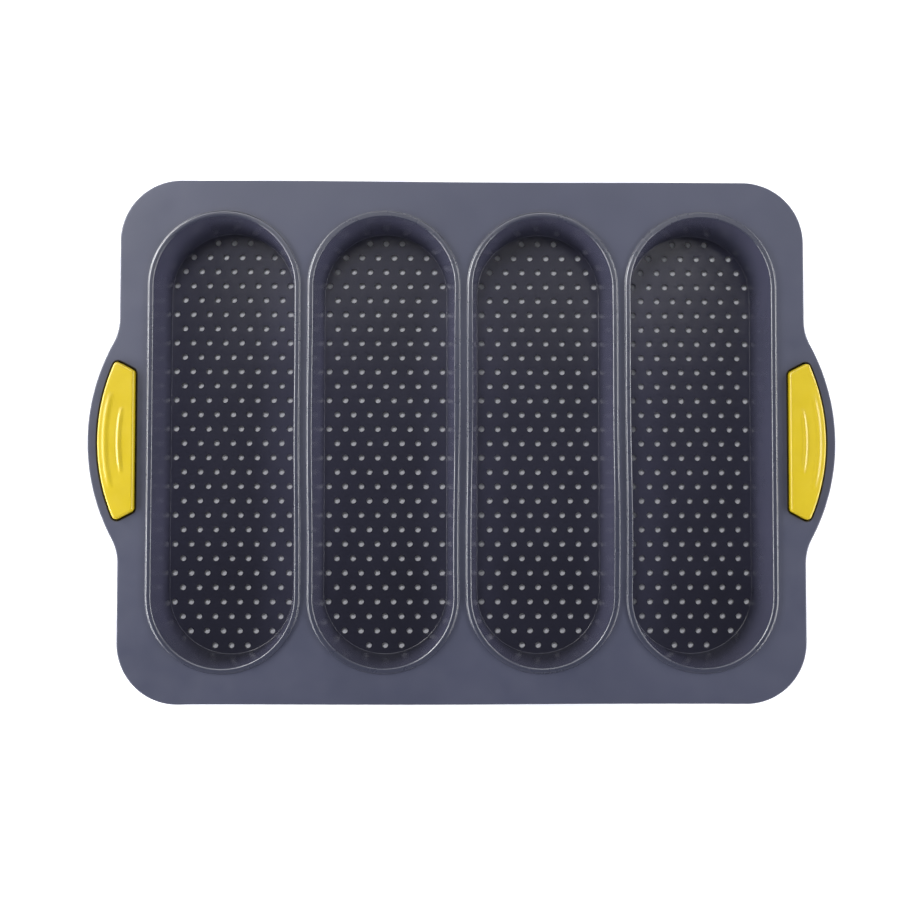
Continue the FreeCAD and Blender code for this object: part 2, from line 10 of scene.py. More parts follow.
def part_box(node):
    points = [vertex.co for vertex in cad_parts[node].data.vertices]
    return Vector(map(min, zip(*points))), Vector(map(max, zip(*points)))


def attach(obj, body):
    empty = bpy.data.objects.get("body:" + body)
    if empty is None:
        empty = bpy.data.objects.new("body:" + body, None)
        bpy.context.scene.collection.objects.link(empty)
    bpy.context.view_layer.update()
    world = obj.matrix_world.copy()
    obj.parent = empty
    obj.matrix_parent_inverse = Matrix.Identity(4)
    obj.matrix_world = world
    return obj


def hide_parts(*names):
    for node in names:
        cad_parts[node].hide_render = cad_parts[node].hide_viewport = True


# The looks of the baguette tray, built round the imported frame. Shapes are worked out in millimetres
# and written to the meshes in metres. +X runs from handle to handle, +Y along the troughs, +Z up.

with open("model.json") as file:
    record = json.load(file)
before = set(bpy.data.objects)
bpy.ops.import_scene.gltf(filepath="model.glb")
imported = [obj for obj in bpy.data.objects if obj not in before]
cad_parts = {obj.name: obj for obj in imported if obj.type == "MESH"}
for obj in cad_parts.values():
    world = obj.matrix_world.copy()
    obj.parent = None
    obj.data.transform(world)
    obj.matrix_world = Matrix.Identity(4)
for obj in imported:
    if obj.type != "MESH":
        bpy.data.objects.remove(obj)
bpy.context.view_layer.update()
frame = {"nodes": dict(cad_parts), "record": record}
MM = 0.001

# ------------------------------------------------------------------ sizes taken from the frame

tray_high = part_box("tray_body")[1] / MM
grip_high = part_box("right_grip")[1] / MM
openings = frame["record"]["physics"]["openings"]
middles = [np.array(item["box_m"]) / MM for item in openings if item["name"].endswith("_middle")]
TROUGH_X = sorted(float(box[:, 0].mean()) for box in middles)
END_CENTRE = float(middles[0][1, 1])
LUG_TIP = tray_high.x
END_EDGE = tray_high.y
LIP_TOP = tray_high.z
GRIP_TOP_RIB = grip_high.z

# ------------------------------------------------------------------ sizes of the design, in millimetres

SIDE_EDGE = 167.4
RIM_CORNER = 30.0
LUG_CENTRE = 82.6
LUG_BLEND = 25.0
DECK_TOP = 28.0
DECK_UNDER = 25.4
RIM_UNDER = 22.8
RIM_ROUND = 0.8
RECESS_SIDE = 155.8
RECESS_END = 120.65
RECESS_CORNER = 23.0
FLOOR_TOP = 2.0
FLOOR_RADIUS = 31.2
OPENING_RADIUS = 34.1
WALL = 2.0
LIP_OUTER = 37.0
LIP_ROUND = 1.0
HOLE_RADIUS = 1.5
HOLE_EDGE = 0.12
HOLE_PITCH = 8.226
ROW_PITCH = 7.315
HOLE_ROWS = [3, 6] + [7, 8] * 12 + [7, 6, 3]
GRIP_INNER = 159.5
GRIP_OUTER_RADIUS = 94.5
GRIP_HALF = 33.9
GRIP_SLOPE = math.radians(28)
GRIP_CORNER = 2.0
GRIP_TOP = 30.3
GRIP_FOOT = 22.2
TONGUE = 1.3
TONGUE_LOW, TONGUE_HIGH = 24.7, 26.1
WINDOW_GAP = 0.85

# the walls' slope as a ratio, and in whole degrees for the arcs that end on them
DRAFT = (OPENING_RADIUS - FLOOR_RADIUS) / (DECK_TOP - FLOOR_TOP)
WALL_LEAN = 6


# ------------------------------------------------------------------ outlines as points with normals

class Outline:
    """Closed anticlockwise outline: base points with outward normals, so it can be grown or shrunk."""

    def __init__(self, base, normal):
        self.base = np.array(base, float)
        self.normal = np.array(normal, float)

    def grown(self, offset, shift=(0.0, 0.0)):
        return self.base + self.normal * offset + np.array(shift)


def arc_points(centre, radius, start, end, step, outward=1.0):
    """Points and normals along an arc, without its last point."""
    count = max(3, int(abs(end - start) * max(radius, 1.0) / step))
    angles = start + (end - start) * np.arange(count) / count
    direction = np.stack([np.cos(angles), np.sin(angles)], 1)
    return np.array(centre) + direction * radius, direction * outward


def line_points(start, end, step):
    """Points and normals along a straight side, without its last point."""
    start, end = np.array(start, float), np.array(end, float)
    along = end - start
    length = float(np.hypot(*along))
    count = max(1, int(length / step))
    points = start + along * (np.arange(count) / count)[:, None]
    normal = np.array([along[1], -along[0]]) / length
    return points, np.repeat(normal[None], count, 0)


def joined(pieces):
    """One outline from stretches of points and normals in order."""
    return Outline(np.concatenate([p for p, _ in pieces]), np.concatenate([n for _, n in pieces]))


def stadium():
    """Outline of zero width down the middle of a trough; grown(r) gives the stadium of radius r."""
    quarter_steps, side_step = 22, 3.8
    pieces = []
    for sign, start in ((1, 0.0), (-1, math.pi)):
        angles = start + np.arange(2 * quarter_steps) * math.pi / (2 * quarter_steps)
        direction = np.stack([np.cos(angles), np.sin(angles)], 1)
        pieces.append((np.repeat([[0.0, sign * END_CENTRE]], len(angles), 0), direction))
        pieces.append(line_points((0, sign * END_CENTRE), (0, -sign * END_CENTRE), side_step))
    return joined(pieces)


def rounded_rectangle(half_x, half_y, radius, step):
    """Rectangle round the origin with four corner arcs."""
    pieces = []
    x, y, quarter = half_x - radius, half_y - radius, math.pi / 2
    corners = ((x, y), (-x, y), (-x, -y), (x, -y))
    ends = (((x, half_y), (-x, half_y)), ((-half_x, y), (-half_x, -y)),
            ((-x, -half_y), (x, -half_y)), ((half_x, -y), (half_x, y)))
    for i, (corner, side) in enumerate(zip(corners, ends)):
        pieces.append(arc_points(corner, radius, i * quarter, (i + 1) * quarter, step / 2))
        pieces.append(line_points(*side, step))
    return joined(pieces)


def rim_outline():
    """Outer edge of the tray: rounded rectangle with a curved lug on each side."""
    lug_radius = LUG_TIP - LUG_CENTRE
    across = SIDE_EDGE + LUG_BLEND - LUG_CENTRE
    meet_y = math.sqrt((lug_radius + LUG_BLEND) ** 2 - across ** 2)
    meet = math.atan2(meet_y, across)
    x, y = SIDE_EDGE - RIM_CORNER, END_EDGE - RIM_CORNER
    pi, step, bend_step = math.pi, 2.5, 1.2
    pieces = []
    for sign, turn in ((1, 0.0), (-1, pi)):
        pieces += [
            line_points((sign * SIDE_EDGE, -sign * y), (sign * SIDE_EDGE, -sign * meet_y), step),
            arc_points((sign * (SIDE_EDGE + LUG_BLEND), -sign * meet_y), LUG_BLEND,
                       turn + pi, turn + pi - meet, bend_step, -1.0),
            arc_points((sign * LUG_CENTRE, 0), lug_radius, turn - meet, turn + meet, step),
            arc_points((sign * (SIDE_EDGE + LUG_BLEND), sign * meet_y), LUG_BLEND,
                       turn + pi + meet, turn + pi, bend_step, -1.0),
            line_points((sign * SIDE_EDGE, sign * meet_y), (sign * SIDE_EDGE, sign * y), step),
            arc_points((sign * x, sign * y), RIM_CORNER, turn, turn + pi / 2, bend_step),
            line_points((sign * x, sign * END_EDGE), (-sign * x, sign * END_EDGE), step),
            arc_points((-sign * x, sign * y), RIM_CORNER, turn + pi / 2, turn + pi, bend_step),
        ]
    return joined(pieces)


def grip_outline():
    """Right grip's outline shrunk by its corner radius; grown(GRIP_CORNER) gives the grip itself."""
    inner = GRIP_INNER + GRIP_CORNER
    half = GRIP_HALF - GRIP_CORNER * (1 - math.sin(GRIP_SLOPE)) / math.cos(GRIP_SLOPE)
    radius = GRIP_OUTER_RADIUS - GRIP_CORNER
    # the sloping end runs out from the inner corner until it is the radius from the lug's centre
    across, up = math.cos(GRIP_SLOPE), math.sin(GRIP_SLOPE)
    away = inner - LUG_CENTRE
    along = away * across + half * up
    run = -along + math.sqrt(along * along - (away * away + half * half - radius * radius))
    tip_x, tip_y = inner + run * across, half + run * up
    sweep = math.atan2(tip_y, tip_x - LUG_CENTRE)
    pi, step, inner_step, corner_step = math.pi, 1.0, 1.5, 0.22
    upper_end, lower_end = pi / 2 + GRIP_SLOPE, -pi / 2 - GRIP_SLOPE

    def corner(point, start, end):
        points, normals = arc_points((0, 0), 1.0, start, end, corner_step)
        return np.repeat([point], len(normals), 0), normals

    return joined([
        arc_points((LUG_CENTRE, 0), radius, -sweep, sweep, step),
        corner((tip_x, tip_y), sweep, upper_end),
        line_points((tip_x, tip_y), (inner, half), step),
        corner((inner, half), upper_end, pi),
        line_points((inner, half), (inner, -half), inner_step),
        corner((inner, -half), -pi, lower_end),
        line_points((inner, -half), (tip_x, -tip_y), step),
        corner((tip_x, -tip_y), lower_end, -sweep),
    ])


def mirrored(outline):
    """The outline reflected across X = 0, still anticlockwise."""
    flip = np.array([-1.0, 1.0])
    return Outline((outline.base * flip)[::-1], (outline.normal * flip)[::-1])


def circle_outline(count):
    """Circle of zero radius with that many points; grown(r) gives the circle of radius r."""
    angles = np.arange(count) * 2 * math.pi / count
    return Outline(np.zeros((count, 2)), np.stack([np.cos(angles), np.sin(angles)], 1))


# ------------------------------------------------------------------ profiles as (offset, height) pairs

def round_profile(centre, radius, start, end, steps):
    """Points on an arc in the (offset, height) plane, with its angles in degrees."""
    angles = np.radians(np.linspace(start, end, steps + 1))
    return [(centre[0] + radius * math.cos(a), centre[1] + radius * math.sin(a)) for a in angles]


def straight(start, end, steps):
    """Points between two profile points, without either end."""
    return [(start[0] + (end[0] - start[0]) * k / steps, start[1] + (end[1] - start[1]) * k / steps)
            for k in range(1, steps)]


# ------------------------------------------------------------------ mesh building

class Builder:
    """Collects rings of points and the faces between them, in millimetres."""

    def __init__(self):
        self.points = []
        self.faces = []
        self.zones = []
        self.zone = 0

    def add_points(self, flat, height):
        """Adds points at one height, and returns their numbers."""
        first = len(self.points)
        self.points.extend((float(x), float(y), float(height)) for x, y in flat)
        return np.arange(first, first + len(flat))

    def add_face(self, face):
        self.faces.append(face)
        self.zones.append(self.zone)

    def bridge(self, ring, other):
        """Four-sided faces between two rings of the same length."""
        count = len(ring)
        for i in range(count):
            j = (i + 1) % count
            self.add_face((ring[i], ring[j], other[j], other[i]))

    def sweep(self, outline, profile, shift=(0.0, 0.0), start=None):
        """Rings of the outline at each profile point, joined; returns the first and last ring.
        With start, that existing ring takes the place of the first one."""
        rings = [] if start is None else [start]
        for offset, height in profile[len(rings):]:
            rings.append(self.add_points(outline.grown(offset, shift), height))
        for ring, other in zip(rings, rings[1:]):
            self.bridge(ring, other)
        return rings[0], rings[-1]

    def sheet(self, outer, holes, height, extra=None, facing_up=True):
        """Flat triangulated face between an outer ring and holes, with extra points inside it."""
        loops = [outer] + list(holes)
        ids = np.concatenate(loops)
        owner = np.concatenate([np.full(len(loop), i) for i, loop in enumerate(loops)])
        flat = [self.points[i][:2] for i in ids]
        edges, first = [], 0
        for loop in loops:
            edges += [(first + k, first + (k + 1) % len(loop)) for k in range(len(loop))]
            first += len(loop)
        if extra is not None:
            ids = np.concatenate([ids, self.add_points(extra, height)])
            owner = np.concatenate([owner, np.full(len(extra), -1)])
            flat = flat + [tuple(point) for point in extra]
        region, inside_only, merge_distance = list(range(len(outer))), 1, 1e-6
        out = delaunay_2d_cdt([Vector(p) for p in flat], edges, [region], inside_only, merge_distance)
        _, _, triangles, origin = out[:4]
        for triangle in triangles:
            corners = [origin[k][0] for k in triangle]
            owners = {int(owner[k]) for k in corners}
            fills_a_hole = len(owners) == 1 and not owners & {0, -1}
            if fills_a_hole:
                continue
            face = tuple(int(ids[k]) for k in corners)
            self.add_face(face if facing_up else face[::-1])

    def finish(self, name, move):
        """The piece itself; move shifts its points before they become a mesh."""
        points = move(np.array(self.points))
        mesh = bpy.data.meshes.new(name)
        mesh.from_pydata((points * MM).tolist(), [], self.faces)
        mesh.polygons.foreach_set("material_index", self.zones)
        mesh.validate()
        mesh.polygons.foreach_set("use_smooth", [True] * len(mesh.polygons))
        piece = bpy.data.objects.new(name, mesh)
        bpy.context.scene.collection.objects.link(piece)
        weighted = piece.modifiers.new("weighted_normals", "WEIGHTED_NORMAL")
        weighted.keep_sharp = True
        weighted.weight = 100
        return piece


def grid_points(low, high, spacing, avoid, clearance):
    """Staggered grid inside a rectangle, farther than the clearance from the points to avoid."""
    rows = np.arange(low[1], high[1], spacing)
    grid = []
    for i, y in enumerate(rows):
        xs = np.arange(low[0] + (i % 2) * spacing / 2, high[0], spacing)
        grid.append(np.stack([xs, np.full(len(xs), y)], 1))
    grid = np.concatenate(grid)
    cells = {}
    for point in avoid:
        cells.setdefault((int(point[0] // clearance), int(point[1] // clearance)), []).append(point)
    kept = []
    for point in grid:
        column, row = int(point[0] // clearance), int(point[1] // clearance)
        around = [(column + i, row + j) for i in (-1, 0, 1) for j in (-1, 0, 1)]
        near = [other for key in around for other in cells.get(key, ())]
        if not near or np.min(np.hypot(*(np.array(near) - point).T)) > clearance:
            kept.append(point)
    return np.array(kept)


def inside_stadium(points, radius):
    """True for points inside a stadium of that radius round any trough."""
    inside = np.zeros(len(points), bool)
    for x in TROUGH_X:
        beyond = np.maximum(np.abs(points[:, 1]) - END_CENTRE, 0)
        inside |= np.hypot(points[:, 0] - x, beyond) < radius
    return inside


def inside_polygon(point, polygon):
    """True if a line from the point towards +X crosses the polygon an odd number of times."""
    x, y = point
    inside = False
    for (x1, y1), (x2, y2) in zip(polygon, polygon[1:] + polygon[:1]):
        if (y1 > y) != (y2 > y) and x < (x2 - x1) * (y - y1) / (y2 - y1) + x1:
            inside = not inside
    return inside


# ------------------------------------------------------------------ the silicone moulding

DECK_ZONE, WALL_ZONE, FLOOR_ZONE, LIP_ZONE, SEAM_ZONE = range(5)
HOLE_SIDES = 16


def hole_centres():
    """Places of the holes in one trough's floor, row by row from its +Y end."""
    middle = (len(HOLE_ROWS) - 1) / 2
    return [((k - (count - 1) / 2) * HOLE_PITCH, (middle - row) * ROW_PITCH)
            for row, count in enumerate(HOLE_ROWS) for k in range(count)]


def hole_profile():
    """Down through a trough's floor, with a narrow bevel at each end."""
    wide = HOLE_RADIUS + HOLE_EDGE
    return [(wide, FLOOR_TOP), (HOLE_RADIUS, FLOOR_TOP - HOLE_EDGE),
            (HOLE_RADIUS, HOLE_EDGE), (wide, 0.0)]


def trough_profile():
    """From the deck, over the raised lip and down the sloping wall to the edge of the floor, in two
    parts that share a point. The lip's arcs stop a little short of upright."""
    lip_inner = OPENING_RADIUS + (LIP_TOP - DECK_TOP) * DRAFT
    foot, blend, short = 0.35, 0.32, 10
    base = round_profile((LIP_OUTER + foot, DECK_TOP + foot), foot, 270, 180, 3)
    outer = round_profile((LIP_OUTER - LIP_ROUND, LIP_TOP - LIP_ROUND), LIP_ROUND, short, 90, 6)
    inner_centre = (lip_inner + LIP_ROUND, LIP_TOP - LIP_ROUND)
    inner = round_profile(inner_centre, LIP_ROUND, 90, 180 - short, 6)
    corner = (FLOOR_RADIUS - blend + blend * DRAFT, FLOOR_TOP + blend)
    floor = round_profile(corner, blend, -WALL_LEAN, -90, 4)
    wall = straight(inner[-1], floor[0], 7)
    return base + outer + inner, inner[-1:] + wall + floor


def shell_profile():
    """Underside of a trough: from the edge of its flat bottom up the outside to the deck's underside."""
    blend, joint = 2.0, 0.8
    low_radius = FLOOR_RADIUS + WALL - FLOOR_TOP * DRAFT
    high_radius = low_radius + DECK_UNDER * DRAFT
    bottom_centre = (low_radius - blend + blend * DRAFT, blend)
    bottom = round_profile(bottom_centre, blend, -90, -WALL_LEAN, 6)
    top = round_profile((high_radius + joint, DECK_UNDER - joint), joint, 180 - WALL_LEAN, 90, 4)
    return bottom + straight(bottom[-1], top[0], 5) + top


def window_profile():
    """From the deck down through a lug's window, past the groove for the grip's tongue."""
    gap, edge, slack = GRIP_CORNER + WINDOW_GAP, 0.45, 0.1
    depth = GRIP_CORNER + TONGUE + slack
    top = round_profile((gap + edge, DECK_TOP - edge), edge, 90, 180, 3)
    bottom = round_profile((gap + edge, RIM_UNDER + edge), edge, 180, 270, 3)
    high, low = TONGUE_HIGH + slack, TONGUE_LOW - slack
    return top + [(gap, high), (depth, high), (depth, low), (gap, low)] + bottom


def rim_profile():
    """Outer edge of the tray, from the rim's underside to the deck."""
    low = round_profile((-RIM_ROUND, RIM_UNDER + RIM_ROUND), RIM_ROUND, -90, 0, 4)
    high = round_profile((-RIM_ROUND, DECK_TOP - RIM_ROUND), RIM_ROUND, 0, 90, 5)
    return low + high


def recess_profile():
    """Inner side of the rim, from the deck's underside down to the rim's underside."""
    edge = 0.5
    return (round_profile((-edge, DECK_UNDER - edge), edge, 90, 0, 3)
            + round_profile((edge, RIM_UNDER + edge), edge, 180, 270, 3))


# height of each wave in the soft moulding, its lengths along X and Y over 2 pi, and its phase
BOW_WAVES = ((0.32, 31.0, 38.0, 0.0), (0.14, -23.0, 17.0, 1.3))
SWELL_WAVES = ((0.22, 27.0, 41.0, 0.7), (0.12, -35.0, 19.0, 0.0))


def waves(x, y, table):
    """Sum of a table's waves at each point."""
    return sum(height * np.sin(x / length_x + y / length_y + phase)
               for height, length_x, length_y, phase in table)


def rise(value, start, length):
    """0 up to start, then rising evenly to 1 over the length."""
    return np.clip((value - start) / length, 0, 1)


def sway(points):
    """Slight softness of the moulding: the lips and walls bow sideways, the deck is not dead flat, and
    the two long edges are pulled in a little. The sides, the lugs and the floors stay in place."""
    x, y, z = points.T
    calm_x, calm_y, calm_length, lift_length = 152.0, 124.0, 12.0, 20.0
    calm = rise(-np.abs(x), -calm_x, calm_length) * rise(-np.abs(y), -calm_y, calm_length)
    lift = rise(z, FLOOR_TOP + 1.0, lift_length)
    corner_start, corner_length = 160.0, 30.0
    pull_start, pull_length, pull_depth, pull_wave = 108.0, 19.65, 0.16, 33.0
    edge = rise(np.abs(y), pull_start, pull_length) * rise(-np.abs(x), -corner_start, corner_length)
    pull = edge * pull_depth * (1 + np.sin(x / pull_wave + np.sign(y)))
    bow = waves(x, y, BOW_WAVES) * calm * lift
    swell = waves(x, y, SWELL_WAVES) * calm * lift
    moved = np.stack([x + bow, y - np.sign(y) * pull, z + swell], 1)
    moved[:, 2] = np.minimum(moved[:, 2], tray_high.z)
    return moved


def filler(build, outer, holes, radius):
    """Points spread over a flat region so that it can follow the moulding's slight unevenness."""
    spacing, clearance = 4.0, 2.8
    window_inner, window_half = GRIP_INNER - 1, 41
    rim = np.array([build.points[i][:2] for i in np.concatenate([outer] + list(holes))])
    points = grid_points(rim.min(0), rim.max(0), spacing, rim, clearance)
    points = points[~inside_stadium(points, radius)]
    in_window = (np.abs(points[:, 0]) > window_inner) & (np.abs(points[:, 1]) < window_half)
    outline = [build.points[i][:2] for i in outer]
    return np.array([p for p in points[~in_window] if inside_polygon(p, outline)])


def perforate(build, floors, bottoms):
    """Holes through each trough floor, and the floor's two faces round them."""
    circle = circle_outline(HOLE_SIDES)
    build.zone = FLOOR_ZONE
    for x, floor, bottom in zip(TROUGH_X, floors, bottoms):
        rings = [build.sweep(circle, hole_profile(), (x + hx, hy)) for hx, hy in hole_centres()]
        build.sheet(floor, [ring[0] for ring in rings], FLOOR_TOP)
        build.sheet(bottom, [ring[1] for ring in rings], 0.0, facing_up=False)
    build.zone = DECK_ZONE


def build_tray():
    """The whole silicone moulding as one closed mesh."""
    build = Builder()
    outline, trough = rim_outline(), stadium()
    recess = rounded_rectangle(RECESS_SIDE, RECESS_END, RECESS_CORNER, step=3.0)
    window = grip_outline()
    rim_low, rim_high = build.sweep(outline, rim_profile())
    recess_high, recess_low = build.sweep(recess, recess_profile())
    window_rings = []
    build.zone = SEAM_ZONE
    for shape in (window, mirrored(window)):
        window_rings.append(build.sweep(shape, window_profile()))
    build.zone = DECK_ZONE
    lips, floors, shells_low, shells_high = [], [], [], []
    lip_profile, wall_profile = trough_profile()
    for x in TROUGH_X:
        build.zone = LIP_ZONE
        lip, mouth = build.sweep(trough, lip_profile, (x, 0))
        build.zone = WALL_ZONE
        floor = build.sweep(trough, wall_profile, (x, 0), mouth)[1]
        build.zone = DECK_ZONE
        low, high = build.sweep(trough, shell_profile(), (x, 0))
        lips.append(lip)
        floors.append(floor)
        shells_low.append(low)
        shells_high.append(high)
    perforate(build, floors, shells_low)
    deck_holes = lips + [ring[0] for ring in window_rings]
    build.sheet(rim_high, deck_holes, DECK_TOP, filler(build, rim_high, deck_holes, LIP_OUTER))
    build.sheet(recess_high, shells_high, DECK_UNDER,
                filler(build, recess_high, shells_high, OPENING_RADIUS + WALL), facing_up=False)
    build.sheet(rim_low, [recess_low] + [ring[1] for ring in window_rings], RIM_UNDER, facing_up=False)
    return build.finish("silicone_tray", sway)


# ------------------------------------------------------------------ the grips

GRIP_ZONE, TONGUE_ZONE = range(2)

# radius round the lug's centre, half length, half width and height of each raised arc
RIBS = ((90.7, 21.7, 2.0, 0.5), (84.1, 14.5, 1.4, 0.6))


def rib_height(x, y):
    """Height of the raised arcs on a grip's top, fading out towards their ends."""
    reach, angle = np.hypot(x - LUG_CENTRE, y), np.arctan2(y, x - LUG_CENTRE)
    overrun, fade = 1.5, 6.0
    total = np.zeros_like(reach)
    for radius, half_length, half_width, height in RIBS:
        across = np.clip(np.abs(reach - radius) / half_width, 0, 1)
        along = np.clip((half_length + overrun - np.abs(angle * radius)) / fade, 0, 1)
        total += height * np.cos(across * math.pi / 2) ** 2 * np.sqrt(along)
    return total


def grip_profiles():
    """Foot, tongue and upper side of a grip, in three parts that share their end points."""
    corner, edge, foot_edge = GRIP_CORNER, 1.2, 0.5
    foot = round_profile((corner - foot_edge, GRIP_FOOT + foot_edge), foot_edge, -90, 0, 3)
    tongue = [(corner, TONGUE_LOW), (corner + TONGUE, TONGUE_LOW),
              (corner + TONGUE, TONGUE_HIGH), (corner, TONGUE_HIGH)]
    top = round_profile((corner - edge, GRIP_TOP - edge), edge, 0, 84, 7)
    return foot + tongue[:1], tongue, tongue[-1:] + top


def grip_filler(rim, side):
    """Points on arcs inside a grip's top, close enough together to shape the raised arcs."""
    inner_radius, radius_step = 76.0, 0.42
    half_angle, angle_step, clearance = 0.5, 0.011, 0.35
    rim_points, kept = np.array(rim), []
    for radius in np.arange(inner_radius, GRIP_OUTER_RADIUS, radius_step):
        for angle in np.arange(-half_angle, half_angle, angle_step):
            point = (side * (LUG_CENTRE + radius * math.cos(angle)), radius * math.sin(angle))
            gap = np.min(np.hypot(*(rim_points - point).T))
            if gap > clearance and inside_polygon(point, rim):
                kept.append(point)
    return np.array(kept)


def build_grip(name, side):
    """One grip: swept sides with its tongue, and a top with two raised arcs."""
    build = Builder()
    outline = grip_outline() if side > 0 else mirrored(grip_outline())
    foot_profile, tongue_profile, side_profile = grip_profiles()
    foot, ring = build.sweep(outline, foot_profile)
    build.zone = TONGUE_ZONE
    ring = build.sweep(outline, tongue_profile, start=ring)[1]
    build.zone = GRIP_ZONE
    top = build.sweep(outline, side_profile, start=ring)[1]
    build.sheet(top, [], GRIP_TOP, grip_filler([build.points[i][:2] for i in top], side))
    build.sheet(foot, [], GRIP_FOOT, facing_up=False)

    def raise_ribs(points):
        tolerance = 0.01
        on_top = points[:, 2] > GRIP_TOP - tolerance
        ribs = rib_height(side * points[:, 0], points[:, 1])
        points[:, 2] += np.where(on_top, np.minimum(ribs, GRIP_TOP_RIB - GRIP_TOP), 0)
        return points

    return build.finish(name, raise_ribs)


# ------------------------------------------------------------------ materials

# the spans that the values of a noise texture mostly fill
NARROW, WIDE = (0.35, 0.65), (0.3, 0.7)


def new_material(name):
    """A material with its node lists and its main shader."""
    material = bpy.data.materials.new(name)
    material.use_nodes = True
    nodes, links = material.node_tree.nodes, material.node_tree.links
    return material, nodes, links, nodes["Principled BSDF"]


def add_noise(nodes, links, coordinates, scale, detail=2.0, roughness=0.5):
    """Noise with that many cells per metre."""
    noise = nodes.new("ShaderNodeTexNoise")
    noise.inputs["Scale"].default_value = scale
    noise.inputs["Detail"].default_value = detail
    noise.inputs["Roughness"].default_value = roughness
    links.new(coordinates, noise.inputs["Vector"])
    return noise.outputs["Fac"]


def add_mix(nodes, links, factor, first, second):
    """Colour between first and second, each a tuple or another node's output."""
    mix = nodes.new("ShaderNodeMix")
    mix.data_type = "RGBA"
    links.new(factor, mix.inputs["Factor"])
    for socket, value in ((mix.inputs["A"], first), (mix.inputs["B"], second)):
        if isinstance(value, tuple):
            socket.default_value = (*value, 1)
        else:
            links.new(value, socket)
    return mix.outputs["Result"]


def add_range(nodes, links, value, span, result):
    """The value stretched from one span of numbers to another, and kept within it."""
    ranged = nodes.new("ShaderNodeMapRange")
    links.new(value, ranged.inputs["Value"])
    for name, number in zip(("From Min", "From Max", "To Min", "To Max"), span + result):
        ranged.inputs[name].default_value = number
    return ranged.outputs["Result"]


def add_math(nodes, links, operation, first, second):
    """Result of one operation on two terms, each a float or another node's output."""
    math_node = nodes.new("ShaderNodeMath")
    math_node.operation = operation
    for socket, value in zip(math_node.inputs, (first, second)):
        if isinstance(value, float):
            socket.default_value = value
        else:
            links.new(value, socket)
    return math_node.outputs["Value"]


def add_bump(nodes, links, height, strength, distance, normal=None):
    """Surface normal tilted by a height pattern, on top of another normal if one is given."""
    bump = nodes.new("ShaderNodeBump")
    bump.inputs["Strength"].default_value = strength
    bump.inputs["Distance"].default_value = distance
    links.new(height, bump.inputs["Height"])
    if normal is not None:
        links.new(normal, bump.inputs["Normal"])
    return bump.outputs["Normal"]


def silicone_material(name, colours, roughness, unevenness, grain_depth, gloss):
    """Blue-grey silicone. colours holds its darker and lighter one and roughness its two ends,
    unevenness and grain_depth are its bump at two scales, and gloss is its index of refraction."""
    material, nodes, links, shader = new_material(name)
    position = nodes.new("ShaderNodeTexCoord").outputs["Object"]
    cloud = add_noise(nodes, links, position, scale=28.0, detail=3.0)
    tint = add_range(nodes, links, cloud, NARROW, (0, 1))
    links.new(add_mix(nodes, links, tint, *colours), shader.inputs["Base Color"])
    smear = add_noise(nodes, links, position, scale=75.0, detail=4.0, roughness=0.6)
    links.new(add_range(nodes, links, smear, WIDE, roughness), shader.inputs["Roughness"])
    grain = add_noise(nodes, links, position, scale=2600.0)
    swell = add_noise(nodes, links, position, scale=55.0)
    normal = add_bump(nodes, links, swell, unevenness, distance=0.0006)
    grained = add_bump(nodes, links, grain, grain_depth, distance=0.00006, normal=normal)
    links.new(grained, shader.inputs["Normal"])
    shader.inputs["IOR"].default_value = gloss
    return material


def grip_material():
    """Yellow rubbery plastic with a fine grain."""
    material, nodes, links, shader = new_material("yellow_grip")
    position = nodes.new("ShaderNodeTexCoord").outputs["Object"]
    cloud = add_noise(nodes, links, position, scale=90.0, detail=3.0)
    tint = add_range(nodes, links, cloud, NARROW, (0, 1))
    colour = add_mix(nodes, links, tint, (0.480, 0.357, 0.0088), (0.510, 0.383, 0.0118))
    links.new(colour, shader.inputs["Base Color"])
    smear = add_noise(nodes, links, position, scale=160.0, detail=3.0)
    links.new(add_range(nodes, links, smear, WIDE, (0.31, 0.39)), shader.inputs["Roughness"])
    grain = add_noise(nodes, links, position, scale=3000.0)
    grained = add_bump(nodes, links, grain, strength=0.10, distance=0.00004)
    links.new(grained, shader.inputs["Normal"])
    shader.inputs["IOR"].default_value = 1.53
    return material


def shaded_seat_material(name, dark, light):
    """Dull seat of a grip, the tongue and the groove that holds it, painted dark: near-black or dark
    brown colours stand in for the shade down the gap round the grip.
    """
    material, nodes, links, shader = new_material(name)
    position = nodes.new("ShaderNodeTexCoord").outputs["Object"]
    # random mottle in the painted shade's colour, roughness and bump
    shade_mottle = add_noise(nodes, links, position, scale=220.0, detail=4.0)
    links.new(add_mix(nodes, links, shade_mottle, dark, light), shader.inputs["Base Color"])
    links.new(add_range(nodes, links, shade_mottle, WIDE, (0.55, 0.75)), shader.inputs["Roughness"])
    uneven = add_bump(nodes, links, shade_mottle, strength=0.2, distance=0.0001)
    links.new(uneven, shader.inputs["Normal"])
    return material


def wire_material():
    """Drawn steel."""
    material, nodes, links, shader = new_material("steel_wire")
    position = nodes.new("ShaderNodeTexCoord").outputs["Object"]
    drawn = add_noise(nodes, links, position, scale=900.0)
    shader.inputs["Base Color"].default_value = (0.55, 0.55, 0.56, 1)
    shader.inputs["Metallic"].default_value = 1.0
    links.new(add_range(nodes, links, drawn, WIDE, (0.28, 0.42)), shader.inputs["Roughness"])
    drawn_lines = add_bump(nodes, links, drawn, strength=0.1, distance=0.00005)
    links.new(drawn_lines, shader.inputs["Normal"])
    return material


# half the size of the dim area under the tray, the distances from it over which the floor's glow
# rises, in metres, and the strengths between which it does
DIM_HALF_X, DIM_HALF_Y = 0.155, 0.113
NEAR_RISE, NEAR_GLOW = (0.0, 0.012), (0.02, 0.35)
FAR_RISE, FAR_GLOW = (0.3, 0.9), (0.0, 0.55)


